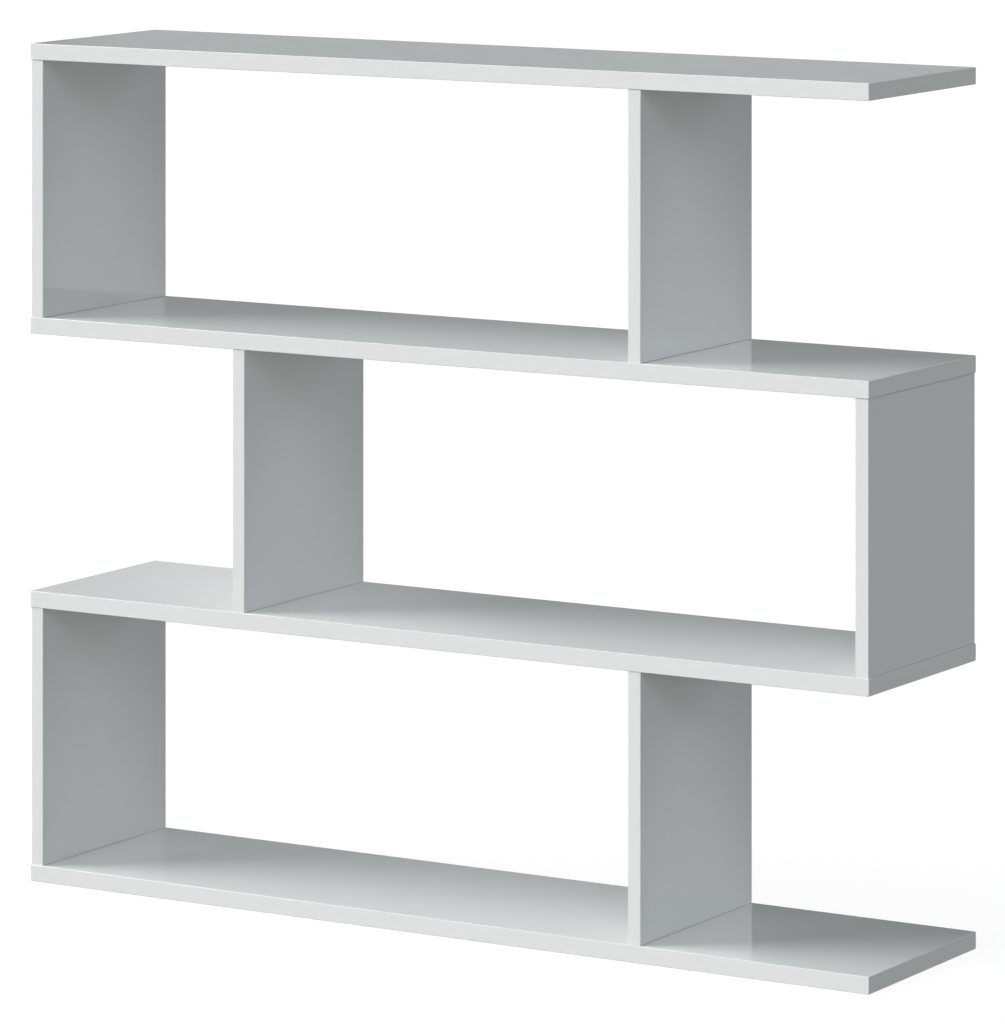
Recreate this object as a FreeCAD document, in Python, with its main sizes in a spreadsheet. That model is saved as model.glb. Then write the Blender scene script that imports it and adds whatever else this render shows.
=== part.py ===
import FreeCAD, Part
import os

import Sketcher

# A zigzag bookshelf in gloss white melamine-faced board, in millimetres.
# Four full-width shelves are held apart by three tiers of two uprights each. The outer tiers have an
# upright at the left end and a divider right of the middle, and the middle tier is turned round.
# Two screws come up through the shelf into the foot of each upright that stands on it, and two glued
# dowels in the upright's head carry the next shelf.
# The origin is on the floor under the middle of the base shelf, +X to the viewer's right, +Z up, and
# the front faces -Y.

# Driving dimensions
SIZES = {
    # boards
    "shelf_length": 1100,
    "shelf_depth": 250,
    "shelf_thickness": 19,
    "upright_height": 298,
    "upright_thickness": 16,
    "end_ease": 0.5,  # taken off the edges of an upright's foot and head, which leaves a fine joint line
    "end_inset": 1,  # from a shelf's end to the outer face of the upright there
    "face_setback": 1,  # from a shelf's front or back edge to an upright's
    "divider_offset": 290,  # from a shelf's end to the middle of the divider near it
    # plastic bands glued on the cut edges
    "band_thickness": 1,
    "band_bevel": 0.5,
    # fits shared by the fittings
    "fit_clearance": 0.1,  # beside a fitting in its hole
    "hole_end_gap": 1,  # past a fitting's end in a blind hole
    "blind_floor": 7,  # board left over a blind hole in a shelf
    # wooden dowels
    "dowel_diameter": 8,
    "dowel_length": 30,
    "dowel_from_edge": 45,  # from an upright's front or back edge
    # countersunk screws with a hexagon socket
    "screw_length": 50,
    "screw_head_diameter": 10,
    "screw_diameter": 7,  # over the thread
    "screw_sink": 0.3,  # head below the underside of the shelf
    "screw_socket": 4,  # across the flats
    "screw_socket_depth": 3,
    "screw_from_edge": 45,
}

# Sizes and places that follow from the driving dimensions
LAYOUT = {
    "shelf_core_length": "Sizes.shelf_length - 2 * Sizes.band_thickness",
    "shelf_core_depth": "Sizes.shelf_depth - 2 * Sizes.band_thickness",
    "upright_depth": "Sizes.shelf_depth - 2 * Sizes.face_setback",
    "upright_core_depth": "upright_depth - 2 * Sizes.band_thickness",
    "tier_pitch": "Sizes.shelf_thickness + Sizes.upright_height",
    "end_place": "Sizes.shelf_length / 2 - Sizes.end_inset - Sizes.upright_thickness / 2",
    "divider_place": "Sizes.shelf_length / 2 - Sizes.divider_offset",
    "end_bevel": "min(Sizes.end_ease; 0.4 * Sizes.upright_thickness)",
    "bevel": "min(Sizes.band_bevel; 0.9 * Sizes.band_thickness)",
    "dowel_place": "upright_depth / 2 - Sizes.dowel_from_edge",
    "screw_place": "upright_depth / 2 - Sizes.screw_from_edge",
    "blind_depth": "Sizes.shelf_thickness - Sizes.blind_floor",
    "shelf_grip": "blind_depth - Sizes.hole_end_gap",
    "upright_grip": "Sizes.dowel_length - shelf_grip",
    "screw_grip": "Sizes.screw_length + Sizes.screw_sink - Sizes.shelf_thickness",
    "screw_head_radius": "Sizes.screw_head_diameter / 2",
    "screw_radius": "Sizes.screw_diameter / 2",
    "screw_seat_diameter": "2 * (screw_head_radius + Sizes.screw_sink + Sizes.fit_clearance)",
}

SHELVES = ("base_shelf", "lower_shelf", "upper_shelf", "top_shelf")

# The two uprights of each tier, from the floor up, with the place of each along X
TIERS = (
    (("bottom_left_side", "-Layout.end_place"), ("bottom_divider", "Layout.divider_place")),
    (("middle_divider", "-Layout.divider_place"), ("middle_right_side", "Layout.end_place")),
    (("top_left_side", "-Layout.end_place"), ("top_divider", "Layout.divider_place")),
)

Z_AXIS = FreeCAD.Vector(0, 0, 1)
ROUNDING = 1e-6

doc = FreeCAD.newDocument("ZigzagBookshelf")


def fill_sheet(name, cells):
    """A sheet with one named cell on each row."""
    sheet = doc.addObject("Spreadsheet::Sheet", name)
    for row, (alias, content) in enumerate(cells.items(), start=1):
        sheet.set(f"A{row}", alias)
        sheet.set(f"B{row}", str(content))
        sheet.setAlias(f"B{row}", alias)
    doc.recompute()
    return sheet


fill_sheet("Sizes", SIZES)
layout = fill_sheet("Layout", {alias: f"={formula}" for alias, formula in LAYOUT.items()})


def value(expression):
    """What an expression comes to now, as a plain number."""
    return float(layout.evalExpression(expression))


def same(first, second):
    """Whether two lengths agree, apart from rounding."""
    return abs(first - second) < ROUNDING


def runs_along_y(start, end):
    return not same(start.y, end.y)


# Sketches and features

def new_body(label):
    body = doc.addObject("PartDesign::Body", label)
    body.Label = label
    return body


def new_sketch(body, plane_role, name, offset=None):
    """A sketch on one of the body's own planes, moved along the plane's normal by offset."""
    sketch = body.newObject("Sketcher::SketchObject", name)
    plane = next(feature for feature in body.Origin.OriginFeatures if feature.Role == plane_role)
    sketch.AttachmentSupport = [(plane, "")]
    sketch.MapMode = "FlatFace"
    if offset is not None:
        sketch.setExpression("AttachmentOffset.Base.z", offset)
    return sketch


def dimension(sketch, constraint, expression):
    index = sketch.addConstraint(constraint)
    sketch.setExpression(f"Constraints[{index}]", expression)


def place_point(sketch, geometry, point, across, up):
    """Ties a point to the sketch's origin by two expressions, or to an axis where one is 0."""
    if across == "0":
        sketch.addConstraint(Sketcher.Constraint("PointOnObject", geometry, point, -2))
    else:
        distance = Sketcher.Constraint("DistanceX", -1, 1, geometry, point, value(across))
        dimension(sketch, distance, across)
    if up == "0":
        sketch.addConstraint(Sketcher.Constraint("PointOnObject", geometry, point, -1))
    else:
        distance = Sketcher.Constraint("DistanceY", -1, 1, geometry, point, value(up))
        dimension(sketch, distance, up)


def draw_rectangle(sketch, width, height):
    """A rectangle about the sketch's origin."""
    half_width = value(width) / 2
    half_height = value(height) / 2
    corners = [
        FreeCAD.Vector(-half_width, -half_height),
        FreeCAD.Vector(half_width, -half_height),
        FreeCAD.Vector(half_width, half_height),
        FreeCAD.Vector(-half_width, half_height),
    ]
    for side in range(4):
        sketch.addGeometry(Part.LineSegment(corners[side], corners[(side + 1) % 4]), False)
    for side in range(4):
        sketch.addConstraint(Sketcher.Constraint("Coincident", side, 2, (side + 1) % 4, 1))
        direction = "Vertical" if side % 2 else "Horizontal"
        sketch.addConstraint(Sketcher.Constraint(direction, side))
    sketch.addConstraint(Sketcher.Constraint("Symmetric", 0, 1, 2, 1, -1, 1))
    dimension(sketch, Sketcher.Constraint("DistanceX", 0, 1, 0, 2, 2 * half_width), width)
    dimension(sketch, Sketcher.Constraint("DistanceY", 1, 1, 1, 2, 2 * half_height), height)


def draw_outline(sketch, corners):
    """A closed outline of straight lines, each corner placed by two expressions."""
    points = [FreeCAD.Vector(value(across), value(up)) for across, up in corners]
    count = len(points)
    for side in range(count):
        sketch.addGeometry(Part.LineSegment(points[side], points[(side + 1) % count]), False)
    for side in range(count):
        sketch.addConstraint(Sketcher.Constraint("Coincident", side, 2, (side + 1) % count, 1))
    for side, (across, up) in enumerate(corners):
        place_point(sketch, side, 1, across, up)


def draw_circles(sketch, centres, diameter):
    """Circles of one diameter, each centre placed by two expressions."""
    for across, up in centres:
        centre = FreeCAD.Vector(value(across), value(up))
        circle = sketch.addGeometry(Part.Circle(centre, Z_AXIS, value(diameter) / 2), False)
        dimension(sketch, Sketcher.Constraint("Diameter", circle, value(diameter)), diameter)
        place_point(sketch, circle, 3, across, up)


def add_pad(body, sketch, name, length):
    pad = body.newObject("PartDesign::Pad", name)
    pad.Profile = sketch
    pad.setExpression("Length", length)
    doc.recompute()
    return pad


def must_remove(body, volume_before, name):
    """A cut that points away from the solid takes nothing off and shows no error."""
    if not body.Shape.Volume < volume_before:
        raise RuntimeError(f"{name} of {body.Label} cuts nothing")


def add_pocket(body, sketch, name, depth, along_normal=False):
    """A cut against the sketch plane's normal, or along it."""
    volume_before = body.Shape.Volume
    pocket = body.newObject("PartDesign::Pocket", name)
    pocket.Profile = sketch
    pocket.setExpression("Length", depth)
    pocket.Reversed = along_normal
    doc.recompute()
    must_remove(body, volume_before, name)


def add_chamfer(body, base, name, size, is_chosen):
    """A chamfer on those of a feature's edges that a test of the edge's two ends chooses."""
    chosen = []
    for number, edge in enumerate(base.Shape.Edges, start=1):
        start, end = (vertex.Point for vertex in edge.Vertexes)
        if is_chosen(start, end):
            chosen.append(f"Edge{number}")
    volume_before = body.Shape.Volume
    chamfer = body.newObject("PartDesign::Chamfer", name)
    chamfer.Base = (base, chosen)
    chamfer.setExpression("Size", size)
    doc.recompute()
    must_remove(body, volume_before, name)


def add_revolution(body, sketch, name):
    turned = body.newObject("PartDesign::Revolution", name)
    turned.Profile = sketch
    turned.ReferenceAxis = (sketch, ["V_Axis"])
    turned.Angle = 360
    doc.recompute()


def put(piece, across, deep, high):
    """Places a piece by three expressions, each left at 0 where it is None."""
    for axis, expression in (("x", across), ("y", deep), ("z", high)):
        if expression is not None:
            piece.setExpression(f"Placement.Base.{axis}", expression)


# Boards and their bands

def make_shelf_board(label, level, uprights_below, uprights_above):
    """A shelf's core, drilled for the fittings of the uprights below and above it."""
    body = new_body(label)
    outline = new_sketch(body, "XY_Plane", f"{label}_outline")
    draw_rectangle(outline, "Layout.shelf_core_length", "Layout.shelf_core_depth")
    add_pad(body, outline, f"{label}_board", "Sizes.shelf_thickness")
    if uprights_below:
        dowels = new_sketch(body, "XY_Plane", f"{label}_dowel_centres")
        centres = [(x, f"{sign}Layout.dowel_place") for _, x in uprights_below for sign in ("", "-")]
        draw_circles(dowels, centres, "Sizes.dowel_diameter + 2 * Sizes.fit_clearance")
        add_pocket(body, dowels, f"{label}_dowel_holes", "Layout.blind_depth", along_normal=True)
    if uprights_above:
        screws = new_sketch(body, "XY_Plane", f"{label}_screw_centres")
        clear_diameter = "Sizes.screw_diameter + 2 * Sizes.fit_clearance"
        centres = [(x, f"{sign}Layout.screw_place") for _, x in uprights_above for sign in ("", "-")]
        draw_circles(screws, centres, clear_diameter)
        add_countersunk_holes(body, screws, f"{label}_screw_holes", clear_diameter)
    put(body, None, None, f"{level} * Layout.tier_pitch")
    return body


def add_countersunk_holes(body, sketch, name, diameter):
    """Holes right through, countersunk at the underside for the screws' heads."""
    doc.recompute()
    volume_before = body.Shape.Volume
    hole = body.newObject("PartDesign::Hole", name)
    hole.Profile = sketch
    doc.recompute()
    hole.ThreadType = "None"
    hole.DepthType = "ThroughAll"
    hole.HoleCutType = "Countersink"
    hole.HoleCutCountersinkAngle = 90
    hole.setExpression("Diameter", diameter)
    hole.setExpression("HoleCutDiameter", "Layout.screw_seat_diameter")
    hole.Reversed = True
    doc.recompute()
    must_remove(body, volume_before, name)


def make_upright_board(label, across, level):
    """An upright's core, its foot and head eased along both faces, with two screw holes in its foot and
    two dowel holes in its head."""
    body = new_body(label)
    outline = new_sketch(body, "XY_Plane", f"{label}_outline")
    draw_rectangle(outline, "Sizes.upright_thickness", "Layout.upright_core_depth")
    board = add_pad(body, outline, f"{label}_board", "Sizes.upright_height")
    add_chamfer(body, board, f"{label}_eased_ends", "Layout.end_bevel", runs_along_y)
    screws = new_sketch(body, "XY_Plane", f"{label}_screw_centres")
    draw_circles(
        screws,
        [("0", "Layout.screw_place"), ("0", "-Layout.screw_place")],
        "Sizes.screw_diameter + 2 * Sizes.fit_clearance",
    )
    screw_depth = "Layout.screw_grip + Sizes.hole_end_gap"
    add_pocket(body, screws, f"{label}_screw_holes", screw_depth, along_normal=True)
    dowels = new_sketch(body, "XY_Plane", f"{label}_dowel_centres", "Sizes.upright_height")
    draw_circles(
        dowels,
        [("0", "Layout.dowel_place"), ("0", "-Layout.dowel_place")],
        "Sizes.dowel_diameter + 2 * Sizes.fit_clearance",
    )
    add_pocket(body, dowels, f"{label}_dowel_holes", "Layout.upright_grip + Sizes.hole_end_gap")
    put(body, across, None, f"Sizes.shelf_thickness + {level} * Layout.tier_pitch")
    return body


def make_band(label, length, height, bevels_length, bevels_ends):
    """An edge band, its inner face on the XZ plane and its outer face, bevelled, towards -Y."""
    body = new_body(label)
    outline = new_sketch(body, "XY_Plane", f"{label}_outline")
    half_length = f"({length}) / 2"
    corners = [
        (f"-{half_length}", "0"),
        (f"-{half_length}", "-Sizes.band_thickness"),
        (half_length, "-Sizes.band_thickness"),
        (half_length, "0"),
    ]
    draw_outline(outline, corners)
    strip = add_pad(body, outline, f"{label}_strip", height)
    outer = value("-Sizes.band_thickness")

    def is_bevelled(start, end):
        on_outer_face = same(start.y, outer) and same(end.y, outer)
        return on_outer_face and (bevels_ends if same(start.x, end.x) else bevels_length)

    add_chamfer(body, strip, f"{label}_bevel", "Layout.bevel", is_bevelled)
    return body


def turn_about_z(piece, degrees):
    piece.Placement = FreeCAD.Placement(FreeCAD.Vector(), FreeCAD.Rotation(Z_AXIS, degrees))


def band_shelf(shelf, level):
    """Front and back bands over the whole length, and end bands between them."""
    bands = []
    height = f"{level} * Layout.tier_pitch"
    for side, degrees, sign in (("front", 0, "-"), ("back", 180, "")):
        band = make_band(f"{shelf}_{side}_band", "Sizes.shelf_length", "Sizes.shelf_thickness", True, True)
        turn_about_z(band, degrees)
        put(band, None, f"{sign}Layout.shelf_core_depth / 2", height)
        bands.append(band)
    for side, degrees, sign in (("right", 90, ""), ("left", -90, "-")):
        band = make_band(
            f"{shelf}_{side}_band", "Layout.shelf_core_depth", "Sizes.shelf_thickness", True, False
        )
        turn_about_z(band, degrees)
        put(band, f"{sign}Layout.shelf_core_length / 2", None, height)
        bands.append(band)
    return bands


def band_upright(upright, across, level):
    """Front and back bands from foot to head."""
    bands = []
    for side, degrees, sign in (("front", 0, "-"), ("back", 180, "")):
        band = make_band(
            f"{upright}_{side}_band", "Sizes.upright_thickness", "Sizes.upright_height", False, True
        )
        turn_about_z(band, degrees)
        deep = f"{sign}Layout.upright_core_depth / 2"
        put(band, across, deep, f"Sizes.shelf_thickness + {level} * Layout.tier_pitch")
        bands.append(band)
    return bands


# Fittings, each made once and then repeated

def make_dowel():
    """A dowel standing across the joint at z = 0."""
    body = new_body("dowel_pattern")
    outline = new_sketch(body, "XY_Plane", "dowel_outline", "-Layout.upright_grip")
    draw_circles(outline, [("0", "0")], "Sizes.dowel_diameter")
    add_pad(body, outline, "dowel_rod", "Sizes.dowel_length")
    return body


def make_screw():
    """A screw turned about Z, its flat head at z = 0, with a hexagon socket there."""
    body = new_body("screw_pattern")
    profile = new_sketch(body, "XZ_Plane", "screw_profile")
    corners = [
        ("0", "0"),
        ("Layout.screw_head_radius", "0"),
        ("Layout.screw_radius", "Layout.screw_head_radius - Layout.screw_radius"),
        ("Layout.screw_radius", "Sizes.screw_length"),
        ("0", "Sizes.screw_length"),
    ]
    draw_outline(profile, corners)
    add_revolution(body, profile, "screw_turning")
    socket = new_sketch(body, "XY_Plane", "screw_socket_outline")
    flat = "Sizes.screw_socket / 2"
    corner = "Sizes.screw_socket / sqrt(3)"
    half_side = "Sizes.screw_socket / sqrt(12)"
    corners = [
        (corner, "0"),
        (half_side, flat),
        (f"-{half_side}", flat),
        (f"-{corner}", "0"),
        (f"-{half_side}", f"-{flat}"),
        (half_side, f"-{flat}"),
    ]
    draw_outline(socket, corners)
    add_pocket(body, socket, "screw_socket", "Sizes.screw_socket_depth", along_normal=True)
    return body


def repeat(label, pattern, places):
    """One node of separate copies of a fitting, each placed by three expressions."""
    copies = []
    for number, (across, deep, high) in enumerate(places, start=1):
        copy = doc.addObject("App::Link", f"{label}_{number}")
        copy.LinkedObject = pattern
        put(copy, across, deep, high)
        copies.append(copy)
    group = doc.addObject("Part::Compound", label)
    group.Label = label
    group.Links = copies
    return group


def make_fittings():
    """Two dowels in the head of every upright, and two screws in its foot."""
    dowel_places = []
    screw_places = []
    for level, tier in enumerate(TIERS):
        head = f"{level + 1} * Layout.tier_pitch"
        foot = f"{level} * Layout.tier_pitch + Sizes.screw_sink"
        for _, across in tier:
            for sign in ("", "-"):
                dowel_places.append((across, f"{sign}Layout.dowel_place", head))
                screw_places.append((across, f"{sign}Layout.screw_place", foot))
    return [
        repeat("dowels", make_dowel(), dowel_places),
        repeat("assembly_screws", make_screw(), screw_places),
    ]


def make_bookshelf():
    """Every sub-part of the bookshelf."""
    pieces = []
    for level, shelf in enumerate(SHELVES):
        below = TIERS[level - 1] if level > 0 else ()
        above = TIERS[level] if level < len(TIERS) else ()
        pieces.append(make_shelf_board(shelf, level, below, above))
        pieces.extend(band_shelf(shelf, level))
    for level, tier in enumerate(TIERS):
        for upright, across in tier:
            pieces.append(make_upright_board(upright, across, level))
            pieces.extend(band_upright(upright, across, level))
    pieces.extend(make_fittings())
    doc.recompute()
    return pieces


def check(pieces):
    """Stops if any object of the document failed, or a sub-part has no valid shape."""
    for item in doc.Objects:
        if "Invalid" in item.State or "Error" in item.State:
            raise RuntimeError(f"{item.Label} failed: {item.State}")
    for piece in pieces:
        if piece.Shape.isNull() or not piece.Shape.isValid() or not piece.Shape.Solids:
            raise RuntimeError(f"{piece.Label} has no valid solid")


pieces = make_bookshelf()
check(pieces)
os.makedirs("parts", exist_ok=True)
for piece in pieces:
    piece.Shape.exportStep(f"parts/{piece.Label}.step")
print(f"{len(pieces)} nodes, {sum(len(piece.Shape.Solids) for piece in pieces)} solids")
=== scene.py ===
"""Looks of a gloss white zigzag bookshelf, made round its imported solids."""
import math

import bpy
import numpy as np
from mathutils import Matrix, Vector


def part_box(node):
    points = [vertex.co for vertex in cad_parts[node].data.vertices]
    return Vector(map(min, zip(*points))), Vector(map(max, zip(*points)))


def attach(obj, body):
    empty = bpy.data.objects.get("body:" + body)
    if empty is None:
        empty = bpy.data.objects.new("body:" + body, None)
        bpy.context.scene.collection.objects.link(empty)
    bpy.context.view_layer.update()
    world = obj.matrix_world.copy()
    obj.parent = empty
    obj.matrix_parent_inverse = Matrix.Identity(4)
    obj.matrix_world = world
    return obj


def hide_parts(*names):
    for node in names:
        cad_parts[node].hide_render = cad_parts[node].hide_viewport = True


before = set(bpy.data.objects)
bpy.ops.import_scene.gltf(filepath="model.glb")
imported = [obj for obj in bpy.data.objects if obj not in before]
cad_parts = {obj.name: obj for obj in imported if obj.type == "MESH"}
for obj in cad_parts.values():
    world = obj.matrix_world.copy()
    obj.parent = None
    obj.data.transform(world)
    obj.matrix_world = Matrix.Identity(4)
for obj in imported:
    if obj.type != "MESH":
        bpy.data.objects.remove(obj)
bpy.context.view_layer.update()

MM = 0.001
MICRON = 0.000001

# The boards, as the frame names them
SHELVES = ["base_shelf", "lower_shelf", "upper_shelf", "top_shelf"]
UPRIGHTS = [
    "bottom_left_side", "bottom_divider", "middle_divider", "middle_right_side",
    "top_left_side", "top_divider",
]

# Soft noise, most of whose values lie between these two
NOISE_SPREAD = (0.3, 0.7)

# Places of the Mix node's sockets, because numbers and colours share their names there
MIX_SHARE = 0
MIX_NUMBERS = (2, 3)
MIX_COLOURS = (6, 7)
MIXED_NUMBER = 0
MIXED_COLOUR = 2

# Gloss white melamine on the boards' faces
MELAMINE_SKIN = 0.25 * MM
MELAMINE_LIGHT = (0.770, 0.780, 0.776, 1)
MELAMINE_DEEP = (0.759, 0.769, 0.765, 1)
MELAMINE_SPECK = (0.746, 0.756, 0.752, 1)
MELAMINE_CLOUDS = (14, 3)
MELAMINE_SPECKS = (1400, 1)
MELAMINE_SPECK_FROM = 0.93  # where the noise is above this, a speck shows
MELAMINE_DULL_SPOTS = (35, 2)
MELAMINE_ROUGHNESS = (0.065, 0.085)
MELAMINE_WAVES = (210, 1.5)
MELAMINE_RELIEF = 1 * MICRON

# Raw chipboard inside the boards
CHIP_DARK = (0.22, 0.16, 0.10, 1)
CHIP_BROWN = (0.43, 0.34, 0.24, 1)
CHIP_PALE = (0.60, 0.51, 0.38, 1)
CHIP_BROWN_AT = 0.45
CHIPS_PER_METRE = 480
CHIP_FLATNESS = 2.6
CHIP_ROUGHNESS = 0.85
CHIP_RELIEF = 50 * MICRON

# Edge bands, in the boards' white
BAND_EDGE_RADIUS = 0.65 * MM
BAND_CORNER_RADIUS = 1.05 * MM
BAND_FLAT_MARGIN = 0.1 * MM
BAND_ARC_STEPS = 6
BAND_MAP = "along_the_band"
BAND_LIGHT = MELAMINE_LIGHT
BAND_DEEP = (0.761, 0.771, 0.767, 1)
BAND_STREAK_STRETCH = (6, 1400, 1)
BAND_STREAKS = (1, 2)
BAND_DULL_SPOTS = (45, 2)
BAND_ROUGHNESS = (0.17, 0.24)
BAND_RELIEF = 2 * MICRON

# Joints between uprights and shelves
FOOT = 0  # an upright's lower end, as the first corner of its box
HEAD = 1  # its upper end, as the second corner
FITTING_FROM_CORE_EDGE = 44 * MM  # from the front or back edge of its chipboard

# Dowels
DOWEL_RADIUS = 4 * MM
DOWEL_LENGTH = 30 * MM
DOWEL_IN_SHELF = 11 * MM
DOWEL_CHAMFER = 0.8 * MM
DOWEL_FLUTES = 20
DOWEL_FLUTE_DEPTH = 0.25 * MM
DOWEL_STEPS_PER_FLUTE = 4
BEECH_LIGHT = (0.72, 0.54, 0.36, 1)
BEECH_DARK = (0.55, 0.37, 0.22, 1)
BEECH_FLECK = (0.36, 0.22, 0.12, 1)
BEECH_GRAIN_STRETCH = (1, 1, 0.07)
BEECH_GRAIN = (900, 3)
BEECH_FLECK_STRETCH = (1, 1, 0.16)
BEECH_FLECKS = (2600, 1)
BEECH_FLECK_FROM = 0.82
BEECH_ROUGHNESS = (0.72, 0.58)
BEECH_RELIEF = 60 * MICRON

# Assembly screws
SCREW_LENGTH = 50 * MM
SCREW_RADIUS = 3.5 * MM
SCREW_CORE_RADIUS = 2.5 * MM
SCREW_TIP_RADIUS = 1.6 * MM
SCREW_HEAD_RADIUS = 5 * MM
SCREW_SINK = 0.3 * MM
SCREW_SOCKET = 4 * MM
SCREW_SOCKET_DEPTH = 3 * MM
SCREW_NECK_END = 11 * MM
SCREW_TIP_START = 46 * MM
SCREW_PITCH = 3 * MM
SCREW_RIDGE_HALF = 0.9 * MM
SCREW_STEPS_PER_PITCH = 8
SCREW_SIDES = 24
ZINC_LIGHT = (0.78, 0.78, 0.75, 1)
ZINC_DARK = (0.62, 0.63, 0.62, 1)
ZINC_PATCHES = (500, 3)
ZINC_GRAINS = (2500, 2)
ZINC_ROUGHNESS = (0.42, 0.27)
ZINC_RELIEF = 5 * MICRON

# Edges of a mesh that turn by more than this are shaded sharp
SHARP_ANGLE = math.radians(40)

# Camera, with what it sees in the pixels of the photograph's frame
FRAME_WIDTH = 1005
FRAME_HEIGHT = 1024
LENS_PIXELS = 5945.5  # from the lens to the picture
AXIS_PIXEL = (613.06, -409.2)  # where the lens's axis meets the picture
CAMERA_TURN = math.radians(30.594)  # to the left of straight ahead
CAMERA_PLACE = Vector((3.5353, -5.7088, 1.4940))
CAMERA_REACH = 1000
SENSOR = 36.0

# Floor, and a room with a white skirt just above the horizon
FLOOR_HALF = 100.0
FLOOR_DROP = 0.1 * MM
FLOOR_GLOW = 0.92
FLOOR_SHADE_COLOUR = (0.12, 0.12, 0.12, 1)
FLOOR_BOUNCE_COLOUR = (0.03, 0.03, 0.03, 1)
ROOM_COLOUR = (0.063, 0.080, 0.081, 1)
SKIRT_COLOUR = (1, 1, 1, 1)
SKIRT_WHITE_TO = math.sin(math.radians(2.6))  # rise of a line of sight over a length of 1
SKIRT_GONE_FROM = math.sin(math.radians(3.4))

# Lamps: azimuth from the front, negative to the left, elevation and spread in degrees, strength, colour
LAMPS = [
    ("left_key", -67, 35, 36, 3.25, (1, 0.99, 0.99)),
    ("front_fill", 0, 20, 60, 1.71, (0.99, 1, 0.99)),
    ("right_fill", 30, 35, 28, 0.40, (0.94, 0.95, 1)),
    ("right_low", 90, 8, 28, 0.145, (0.71, 1, 0.93)),
    ("rear_right", 150, 20, 28, 0.43, (0.92, 0.92, 1)),
    ("rear_left", -138, 20, 28, 0.048, (1, 0.99, 1)),
    ("rear_low", -150, 6, 12, 0.0051, (1, 0.97, 1)),
]


def feed(tree, socket, value):
    """Links another node's output to a socket, or sets the socket to a value."""
    if isinstance(value, bpy.types.NodeSocket):
        tree.links.new(value, socket)
    else:
        socket.default_value = value


def add_node(tree, kind, inputs, **settings):
    """A shader node of a kind such as TexNoise, with its settings, and its inputs by name or by place."""
    node = tree.nodes.new("ShaderNode" + kind)
    for name, value in settings.items():
        setattr(node, name, value)
    for socket, value in inputs.items():
        feed(tree, node.inputs[socket], value)
    return node


def cloudy(tree, place, pattern):
    """Soft noise, spread out to run from 0 to 1. Its pattern is its waves per metre and its layers of
    finer detail."""
    waves, detail = pattern
    noise = add_node(tree, "TexNoise", {"Vector": place, "Scale": waves, "Detail": detail})
    low, high = NOISE_SPREAD
    spread = add_node(tree, "MapRange", {"Value": noise.outputs["Fac"], "From Min": low, "From Max": high})
    return spread.outputs["Result"]


def number_between(tree, share, low, high):
    """A number that runs from low to high as a share runs from 0 to 1."""
    inputs = {MIX_SHARE: share, MIX_NUMBERS[0]: low, MIX_NUMBERS[1]: high}
    return add_node(tree, "Mix", inputs, data_type="FLOAT").outputs[MIXED_NUMBER]


def colour_between(tree, share, first, second):
    """A colour that runs from the first to the second as a share runs from 0 to 1."""
    inputs = {MIX_SHARE: share, MIX_COLOURS[0]: first, MIX_COLOURS[1]: second}
    return add_node(tree, "Mix", inputs, data_type="RGBA").outputs[MIXED_COLOUR]


def stretched(tree, place, scale):
    """Coordinates that are scaled along each axis by itself."""
    return add_node(tree, "Mapping", {"Vector": place, "Scale": scale}).outputs["Vector"]


def calculated(tree, operation, first, second=0.0):
    """The result of an operation, such as ADD or LESS_THAN, on one or two numbers."""
    return add_node(tree, "Math", {0: first, 1: second}, operation=operation).outputs[0]


def new_material(name):
    """A material, its tree and its Principled shader."""
    material = bpy.data.materials.new(name)
    material.use_nodes = True
    tree = material.node_tree
    return material, tree, tree.nodes["Principled BSDF"]


def set_relief(tree, shader, height, distance):
    """Relief on a shader's surface: a height, as a pattern, times a distance in metres."""
    bump = add_node(tree, "Bump", {"Height": height, "Distance": distance})
    tree.links.new(bump.outputs["Normal"], shader.inputs["Normal"])


def melamine_skin(tree, place):
    """Melamine's white, which has faint clouds and fine specks, its roughness, and the slight waves
    that its gloss lies over."""
    clouds = colour_between(tree, cloudy(tree, place, MELAMINE_CLOUDS), MELAMINE_DEEP, MELAMINE_LIGHT)
    specks = calculated(tree, "GREATER_THAN", cloudy(tree, place, MELAMINE_SPECKS), MELAMINE_SPECK_FROM)
    white = colour_between(tree, specks, clouds, MELAMINE_SPECK)
    roughness = number_between(tree, cloudy(tree, place, MELAMINE_DULL_SPOTS), *MELAMINE_ROUGHNESS)
    return white, roughness, cloudy(tree, place, MELAMINE_WAVES)


def chipboard_core(tree, place, thin):
    """Browns of chips that lie flat in a board, whose thin axis is given, and the chips' height,
    counted in heights of the melamine's waves."""
    flatness = [1.0, 1.0, 1.0]
    flatness[thin] = CHIP_FLATNESS
    lying = stretched(tree, place, flatness)
    chips = add_node(tree, "TexVoronoi", {"Vector": lying, "Scale": CHIPS_PER_METRE})
    browns = add_node(tree, "ValToRGB", {"Fac": chips.outputs["Color"]})
    steps = browns.color_ramp.elements
    steps[0].color = CHIP_DARK
    steps[1].color = CHIP_PALE
    steps.new(CHIP_BROWN_AT).color = CHIP_BROWN
    height = calculated(tree, "MULTIPLY", chips.outputs["Distance"], CHIP_RELIEF / MELAMINE_RELIEF)
    return browns.outputs["Color"], height


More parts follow.
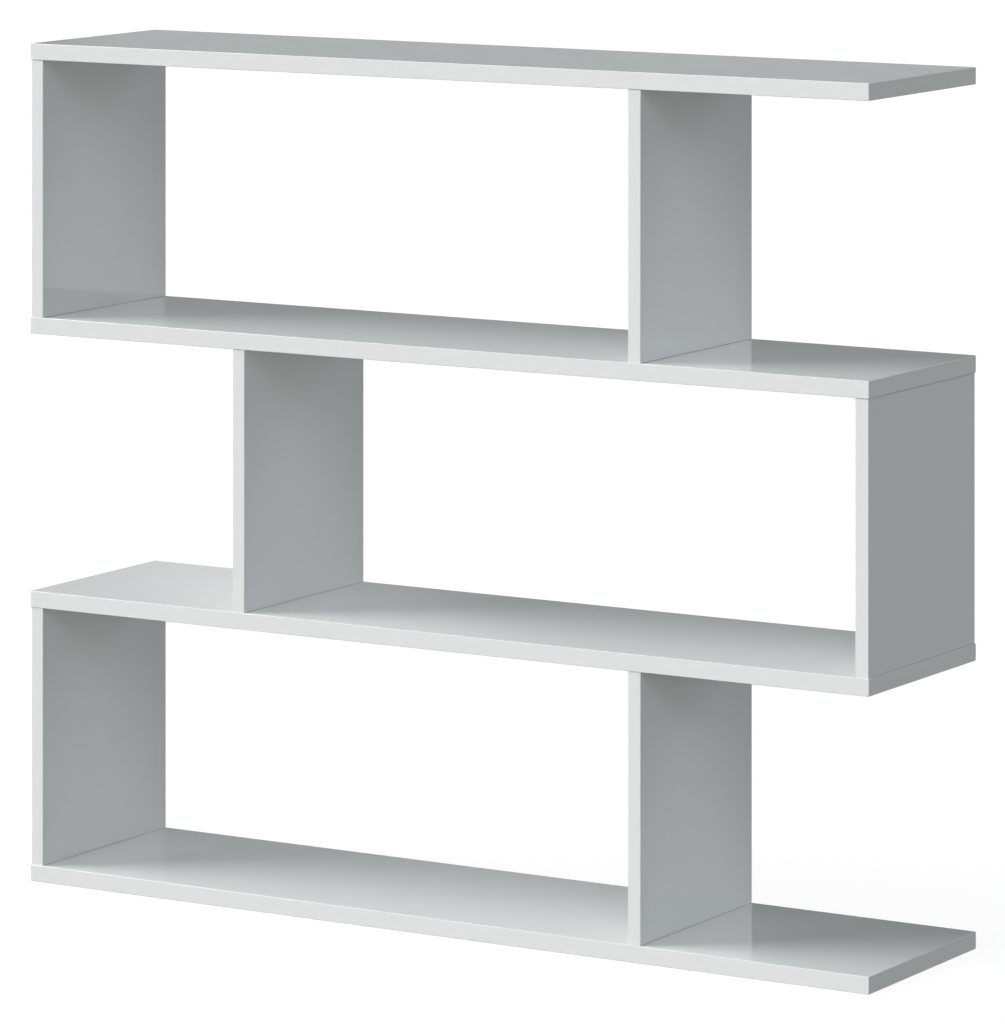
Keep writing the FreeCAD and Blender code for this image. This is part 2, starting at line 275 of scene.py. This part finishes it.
def melamine_white(board):
    """Gloss white melamine on a board's two faces, and raw chipboard on its cut edges and in its holes.

    A point belongs to the chipboard if it lies deeper under both faces than the melamine's skin.
    """
    low, high = np.array(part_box(board))
    thin = int(np.argmin(high - low))
    middle = (low + high)[thin] / 2
    core_half = (high - low)[thin] / 2 - MELAMINE_SKIN
    material, tree, shader = new_material("melamine_white_" + board)
    place = tree.nodes.new("ShaderNodeTexCoord").outputs["Object"]
    across = add_node(tree, "SeparateXYZ", {"Vector": place}).outputs[thin]
    from_middle = calculated(tree, "ABSOLUTE", calculated(tree, "SUBTRACT", across, middle))
    is_core = calculated(tree, "LESS_THAN", from_middle, core_half)
    white, roughness, waves = melamine_skin(tree, place)
    browns, chips = chipboard_core(tree, place, thin)
    feed(tree, shader.inputs["Base Color"], colour_between(tree, is_core, white, browns))
    feed(tree, shader.inputs["Roughness"], number_between(tree, is_core, roughness, CHIP_ROUGHNESS))
    set_relief(tree, shader, number_between(tree, is_core, waves, chips), MELAMINE_RELIEF)
    return material


def band_white():
    """Extruded white edge band: fine streaks run along it, in its colour, its gloss and its relief."""
    material, tree, shader = new_material("band_white")
    place = add_node(tree, "UVMap", {}, uv_map=BAND_MAP).outputs["UV"]
    streaks = cloudy(tree, stretched(tree, place, BAND_STREAK_STRETCH), BAND_STREAKS)
    dullness = calculated(tree, "MULTIPLY", streaks, cloudy(tree, place, BAND_DULL_SPOTS))
    feed(tree, shader.inputs["Base Color"], colour_between(tree, streaks, BAND_DEEP, BAND_LIGHT))
    feed(tree, shader.inputs["Roughness"], number_between(tree, dullness, *BAND_ROUGHNESS))
    set_relief(tree, shader, streaks, BAND_RELIEF)
    return material


def beech():
    """Beech with its grain upright, and the short dark flecks of its rays."""
    material, tree, shader = new_material("beech")
    place = tree.nodes.new("ShaderNodeTexCoord").outputs["Object"]
    grain = cloudy(tree, stretched(tree, place, BEECH_GRAIN_STRETCH), BEECH_GRAIN)
    flecks = cloudy(tree, stretched(tree, place, BEECH_FLECK_STRETCH), BEECH_FLECKS)
    wood = colour_between(tree, grain, BEECH_DARK, BEECH_LIGHT)
    is_fleck = calculated(tree, "GREATER_THAN", flecks, BEECH_FLECK_FROM)
    feed(tree, shader.inputs["Base Color"], colour_between(tree, is_fleck, wood, BEECH_FLECK))
    feed(tree, shader.inputs["Roughness"], number_between(tree, grain, *BEECH_ROUGHNESS))
    set_relief(tree, shader, grain, BEECH_RELIEF)
    return material


def zinc_plate():
    """Bright zinc plating with soft dull patches and a fine grain."""
    material, tree, shader = new_material("zinc_plate")
    place = tree.nodes.new("ShaderNodeTexCoord").outputs["Object"]
    patches = cloudy(tree, place, ZINC_PATCHES)
    shader.inputs["Metallic"].default_value = 1.0
    feed(tree, shader.inputs["Base Color"], colour_between(tree, patches, ZINC_DARK, ZINC_LIGHT))
    feed(tree, shader.inputs["Roughness"], number_between(tree, patches, *ZINC_ROUGHNESS))
    set_relief(tree, shader, cloudy(tree, place, ZINC_GRAINS), ZINC_RELIEF)
    return material


def add_object(name, data):
    """A new object in the scene, at the origin."""
    thing = bpy.data.objects.new(name, data)
    bpy.context.scene.collection.objects.link(thing)
    return thing


def closed_faces(copies, rows, columns):
    """Faces of several closed forms, each a grid of rows that close on themselves: quads between
    neighbouring rows, and a lid on the first row and on the last."""
    row, column = np.meshgrid(np.arange(rows - 1), np.arange(columns), indexing="ij")
    following = (column + 1) % columns
    corners = [row * columns + column, row * columns + following,
               (row + 1) * columns + following, (row + 1) * columns + column]
    quads = np.stack(corners, axis=-1).reshape(-1, 4)
    first = np.arange(columns)[::-1]
    last = (rows - 1) * columns + np.arange(columns)
    starts = np.arange(copies)[:, None] * rows * columns
    every_quad = (starts[:, :, None] + quads).reshape(-1, 4)
    return every_quad.tolist() + (starts + first).tolist() + (starts + last).tolist()


def add_piece(name, points, material, replaced, surface_map=None):
    """A mesh object at the origin, with its place in its points: copies, rows and columns of them."""
    mesh = bpy.data.meshes.new(name)
    mesh.from_pydata(points.reshape(-1, 3).tolist(), [], closed_faces(*points.shape[:3]))
    mesh.shade_smooth()
    mesh.set_sharp_from_angle(angle=SHARP_ANGLE)
    mesh.materials.append(material)
    if surface_map is not None:
        layer = mesh.uv_layers.new(name=BAND_MAP)
        corners = np.empty(len(mesh.loops), np.int32)
        mesh.loops.foreach_get("vertex_index", corners)
        layer.data.foreach_set("uv", surface_map.reshape(-1, 2)[corners].ravel())
    piece = add_object(name, mesh)
    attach(piece, "root")
    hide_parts(replaced)


def band_frame(node, outward):
    """The middle of a band's glued face, its length, width and outward directions, and its sizes."""
    low, high = np.array(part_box(node))
    size = high - low
    out = np.array(outward, float)
    is_out = out != 0
    along = np.zeros(3)
    along[np.argmax(np.where(is_out, 0, size))] = 1
    width = np.cross(out, along)
    depth = size[is_out][0]
    middle = (low + high) / 2 - out * depth / 2
    return middle, along, width, out, size @ along, size @ np.abs(width), depth


def edge_arc():
    """How far the rounded edge has turned in, and how far it is below the band's face, from wall to face:
    the radius times one less the cosine, and times one less the sine, over a quarter turn."""
    turn = np.linspace(0, math.pi / 2, BAND_ARC_STEPS + 1)
    return BAND_EDGE_RADIUS * (1 - np.cos(turn)), BAND_EDGE_RADIUS * (1 - np.sin(turn))


def rounded_lid(node, outward, material):
    """A band with all its outer edges rounded: rounded rectangles, one in another, rise up a wall,
    turn in through a quarter circle and end on the flat face. u runs along the band and v across it."""
    middle, along, width, out, length, breadth, depth = band_frame(node, outward)
    turned_in, below = edge_arc()
    inset = np.concatenate([[0], turned_in, [BAND_EDGE_RADIUS + BAND_FLAT_MARGIN]])[:, None]
    rise = np.concatenate([[0], depth - below, [depth]])[:, None]
    quarter = np.arange(4)[:, None]
    angle = ((quarter + np.linspace(0, 1, BAND_ARC_STEPS + 1)) * math.pi / 2).ravel()
    side_u = np.repeat([1, -1, -1, 1], BAND_ARC_STEPS + 1)
    side_v = np.repeat([1, 1, -1, -1], BAND_ARC_STEPS + 1)
    corner = BAND_CORNER_RADIUS - inset
    u = side_u * (length / 2 - BAND_CORNER_RADIUS) + corner * np.cos(angle)
    v = side_v * (breadth / 2 - BAND_CORNER_RADIUS) + corner * np.sin(angle)
    points = middle + u[..., None] * along + v[..., None] * width + rise[..., None] * out
    surface_map = np.stack([u, v + side_v * (inset - rise)], axis=-1)
    add_piece(node + "_rounded", points[None], material, node, surface_map)


def rounded_strip(node, outward, material):
    """A band cut square at its ends: one profile, with quarter circles at its outer edges,
    carried along the band. u runs along the band and v across it."""
    middle, along, width, out, length, breadth, depth = band_frame(node, outward)
    turned_in, below = edge_arc()
    side = breadth / 2 - turned_in
    flat = breadth / 2 - BAND_EDGE_RADIUS - BAND_FLAT_MARGIN
    v = np.concatenate([[breadth / 2], side, [flat, -flat], -side[::-1], [-breadth / 2]])
    rise = np.concatenate([[0], depth - below, [depth, depth], depth - below[::-1], [0]])
    u = np.array([-length / 2, length / 2])[:, None]
    points = middle + u[..., None] * along + v[:, None] * width + rise[:, None] * out
    steps = np.hypot(np.diff(v), np.diff(rise))
    around = np.concatenate([[0], np.cumsum(steps)])
    surface_map = np.stack(np.broadcast_arrays(u, around), axis=-1)
    add_piece(node + "_rounded", points[None], material, node, surface_map)


def make_bands():
    """Bands on the boards' cut edges: those at the front and back run the whole length of a board, and
    a shelf has one more at each end."""
    white = band_white()
    for shelf in SHELVES:
        rounded_lid(shelf + "_front_band", (0, -1, 0), white)
        rounded_lid(shelf + "_back_band", (0, 1, 0), white)
        rounded_strip(shelf + "_left_band", (-1, 0, 0), white)
        rounded_strip(shelf + "_right_band", (1, 0, 0), white)
    for upright in UPRIGHTS:
        rounded_lid(upright + "_front_band", (0, -1, 0), white)
        rounded_lid(upright + "_back_band", (0, 1, 0), white)


def fitting_places(end):
    """Two points in each upright's middle plane, near its front and back edges, at its foot or its head."""
    boxes = np.array([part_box(upright) for upright in UPRIGHTS])
    x = boxes[:, :, 0].mean(axis=1)
    z = boxes[:, end, 2]
    front = boxes[:, 0, 1] + FITTING_FROM_CORE_EDGE
    back = boxes[:, 1, 1] - FITTING_FROM_CORE_EDGE
    return np.concatenate([np.stack([x, front, z], axis=-1), np.stack([x, back, z], axis=-1)])


def turned_points(places, radius, height, turn):
    """Copies of a form turned about the upright axis: its radius is given over rows and turn, and its
    height over rows."""
    x = radius * np.cos(turn)
    y = radius * np.sin(turn)
    z = np.broadcast_to(height, radius.shape)
    return places[:, None, None, :] + np.stack([x, y, z], axis=-1)


def make_dowels():
    """Fluted dowels: a rod with chamfered ends, less a cosine wave of flutes round it that fades out
    at the chamfers."""
    turn_steps = DOWEL_FLUTES * DOWEL_STEPS_PER_FLUTE
    turn = np.arange(turn_steps) * 2 * math.pi / turn_steps
    foot = DOWEL_IN_SHELF - DOWEL_LENGTH
    from_end = np.array([0, DOWEL_CHAMFER, 2 * DOWEL_CHAMFER])
    height = np.concatenate([from_end, DOWEL_LENGTH - from_end[::-1]])
    turned_off = np.array([DOWEL_CHAMFER, 0, 0, 0, 0, DOWEL_CHAMFER])[:, None]
    fluted = np.array([0, 0, 1, 1, 0, 0])[:, None]
    flutes = DOWEL_FLUTE_DEPTH * (1 + np.cos(DOWEL_FLUTES * turn)) / 2
    radius = DOWEL_RADIUS - turned_off - fluted * flutes
    points = turned_points(fitting_places(HEAD), radius, (foot + height)[:, None], turn)
    add_piece("fluted_dowels", points, beech(), "dowels")


def screw_thread(turn):
    """Heights and radii of a screw's thread, from the neck on.

    The ridge is a triangle wave of height over pitch less turn, so that it climbs one pitch in a turn.
    It grows out of the neck within a pitch, and all of the thread tapers to the tip.
    """
    step = SCREW_PITCH / SCREW_STEPS_PER_PITCH
    height = np.arange(SCREW_NECK_END + step, SCREW_LENGTH, step)[:, None]
    pitches = height / SCREW_PITCH - turn / (2 * math.pi)
    from_ridge = np.abs(pitches % 1 - 0.5) * SCREW_PITCH
    ridge = np.clip(1 - from_ridge / SCREW_RIDGE_HALF, 0, 1)
    full = SCREW_CORE_RADIUS + (SCREW_RADIUS - SCREW_CORE_RADIUS) * ridge
    grown = np.clip((height - SCREW_NECK_END) / SCREW_PITCH, 0, 1)
    taper = np.clip((height - SCREW_TIP_START) / (SCREW_LENGTH - SCREW_TIP_START), 0, 1)
    radii = SCREW_RADIUS + (full - SCREW_RADIUS) * grown
    return height[:, 0], radii * (1 - taper * (1 - SCREW_TIP_RADIUS / SCREW_CORE_RADIUS))


def make_screws():
    """Countersunk screws: from the floor of the hexagon socket down its walls, out over the flat head,
    up the countersink and the neck, and on through the thread to the tip.

    A side of the hexagon is half its width over the cosine of the turn from the side's middle.
    """
    turn = np.arange(SCREW_SIDES) * 2 * math.pi / SCREW_SIDES
    circle = np.ones_like(turn)
    side_turn = math.pi / 3
    hexagon = SCREW_SOCKET / 2 / np.cos(turn % side_turn - side_turn / 2)
    cone_end = SCREW_HEAD_RADIUS - SCREW_RADIUS
    head_heights = [SCREW_SOCKET_DEPTH, 0, 0, cone_end, SCREW_NECK_END]
    head_radii = [hexagon, hexagon, SCREW_HEAD_RADIUS * circle, SCREW_RADIUS * circle, SCREW_RADIUS * circle]
    thread_heights, thread_radii = screw_thread(turn)
    heights = np.concatenate([head_heights, thread_heights, [SCREW_LENGTH]])
    radii = np.concatenate([head_radii, thread_radii, [SCREW_TIP_RADIUS * circle]])
    shelf_low, shelf_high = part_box(SHELVES[0])
    under_shelf = SCREW_SINK - (shelf_high[2] - shelf_low[2])
    points = turned_points(fitting_places(FOOT), radii, (under_shelf + heights)[:, None], turn)
    add_piece("threaded_screws", points, zinc_plate(), "assembly_screws")


def finish_boards():
    """Gives each board's solid its own melamine."""
    for board in SHELVES + UPRIGHTS:
        white = melamine_white(board)
        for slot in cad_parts[board].material_slots:
            slot.material = white


def make_camera():
    """A view camera with its back upright, so that the uprights stay parallel in the picture.

    The lens looks level, and the frame takes in the part of its picture below and left of the
    lens's axis. That slants the frame's own axis against the picture plane: the camera hangs on
    a stand by a slanted matrix, whose columns are right, up and back along the frame's axis.
    """
    right = Vector((math.cos(CAMERA_TURN), math.sin(CAMERA_TURN), 0))
    up = Vector((0, 0, 1))
    ahead = Vector((-math.sin(CAMERA_TURN), math.cos(CAMERA_TURN), 0))
    aside = (FRAME_WIDTH / 2 - AXIS_PIXEL[0]) / LENS_PIXELS
    rise = (AXIS_PIXEL[1] - FRAME_HEIGHT / 2) / LENS_PIXELS
    axis = ahead + right * aside + up * rise
    back = -axis.normalized()
    camera = bpy.data.cameras.new("camera")
    camera.sensor_width = SENSOR
    camera.lens = LENS_PIXELS * axis.length / FRAME_HEIGHT * SENSOR
    camera.clip_end = CAMERA_REACH
    stand = add_object("camera_stand", None)
    holder = add_object("camera", camera)
    holder.parent = stand
    holder.matrix_parent_inverse = Matrix((
        (right.x, up.x, back.x, CAMERA_PLACE.x),
        (right.y, up.y, back.y, CAMERA_PLACE.y),
        (right.z, up.z, back.z, CAMERA_PLACE.z),
        (0, 0, 0, 1),
    ))
    bpy.context.scene.camera = holder


def studio_floor():
    """White to look at and in reflections, with the shelf's faint shadow, and dark to other light, so
    that it throws little back up."""
    material = bpy.data.materials.new("studio_floor")
    material.use_nodes = True
    tree = material.node_tree
    tree.nodes.clear()
    path = tree.nodes.new("ShaderNodeLightPath").outputs
    seen_or_mirrored = calculated(tree, "ADD", path["Is Camera Ray"], path["Is Glossy Ray"])
    seen = calculated(tree, "ADD", seen_or_mirrored, path["Is Transmission Ray"])
    glow = add_node(tree, "Emission", {"Strength": FLOOR_GLOW})
    shade = add_node(tree, "BsdfDiffuse", {"Color": FLOOR_SHADE_COLOUR})
    look = add_node(tree, "AddShader", {0: glow.outputs[0], 1: shade.outputs[0]})
    bounce = add_node(tree, "BsdfDiffuse", {"Color": FLOOR_BOUNCE_COLOUR})
    either = add_node(tree, "MixShader", {0: seen, 1: bounce.outputs[0], 2: look.outputs[0]})
    add_node(tree, "OutputMaterial", {"Surface": either.outputs[0]})
    return material


def make_floor():
    """A wide square floor, a hair below the shelf."""
    half = FLOOR_HALF
    corners = [(-half, -half, 0), (half, -half, 0), (half, half, 0), (-half, half, 0)]
    mesh = bpy.data.meshes.new("floor")
    mesh.from_pydata(corners, [], [(0, 1, 2, 3)])
    mesh.materials.append(studio_floor())
    floor = add_object("floor", mesh)
    floor.location.z = -FLOOR_DROP


def make_room():
    """A dim grey room whose walls are white just above the floor, where they meet its horizon."""
    room = bpy.data.worlds.new("studio_room")
    bpy.context.scene.world = room
    room.use_nodes = True
    tree = room.node_tree
    direction = tree.nodes.new("ShaderNodeTexCoord").outputs["Generated"]
    height = add_node(tree, "SeparateXYZ", {"Vector": direction}).outputs["Z"]
    fade = {"Value": height, "From Min": SKIRT_WHITE_TO, "From Max": SKIRT_GONE_FROM}
    above = add_node(tree, "MapRange", fade).outputs["Result"]
    colour = colour_between(tree, above, SKIRT_COLOUR, ROOM_COLOUR)
    tree.links.new(colour, tree.nodes["Background"].inputs["Color"])


def make_lamp(name, azimuth, elevation, spread, strength, colour):
    """A large soft lamp, so far off that it lights all tiers alike."""
    lamp = bpy.data.lights.new(name, "SUN")
    lamp.energy = strength
    lamp.angle = math.radians(spread)
    lamp.color = colour
    turn = math.radians(azimuth)
    rise = math.radians(elevation)
    level = math.cos(rise)
    towards_lamp = Vector((math.sin(turn) * level, -math.cos(turn) * level, math.sin(rise)))
    holder = add_object(name, lamp)
    holder.rotation_mode = "QUATERNION"
    holder.rotation_quaternion = towards_lamp.to_track_quat("Z", "Y")


def make_lamps():
    """All lamps of the studio."""
    for lamp in LAMPS:
        make_lamp(*lamp)


finish_boards()
make_bands()
make_dowels()
make_screws()
make_camera()
make_floor()
make_room()
make_lamps()
bpy.context.scene.view_settings.view_transform = "Standard"
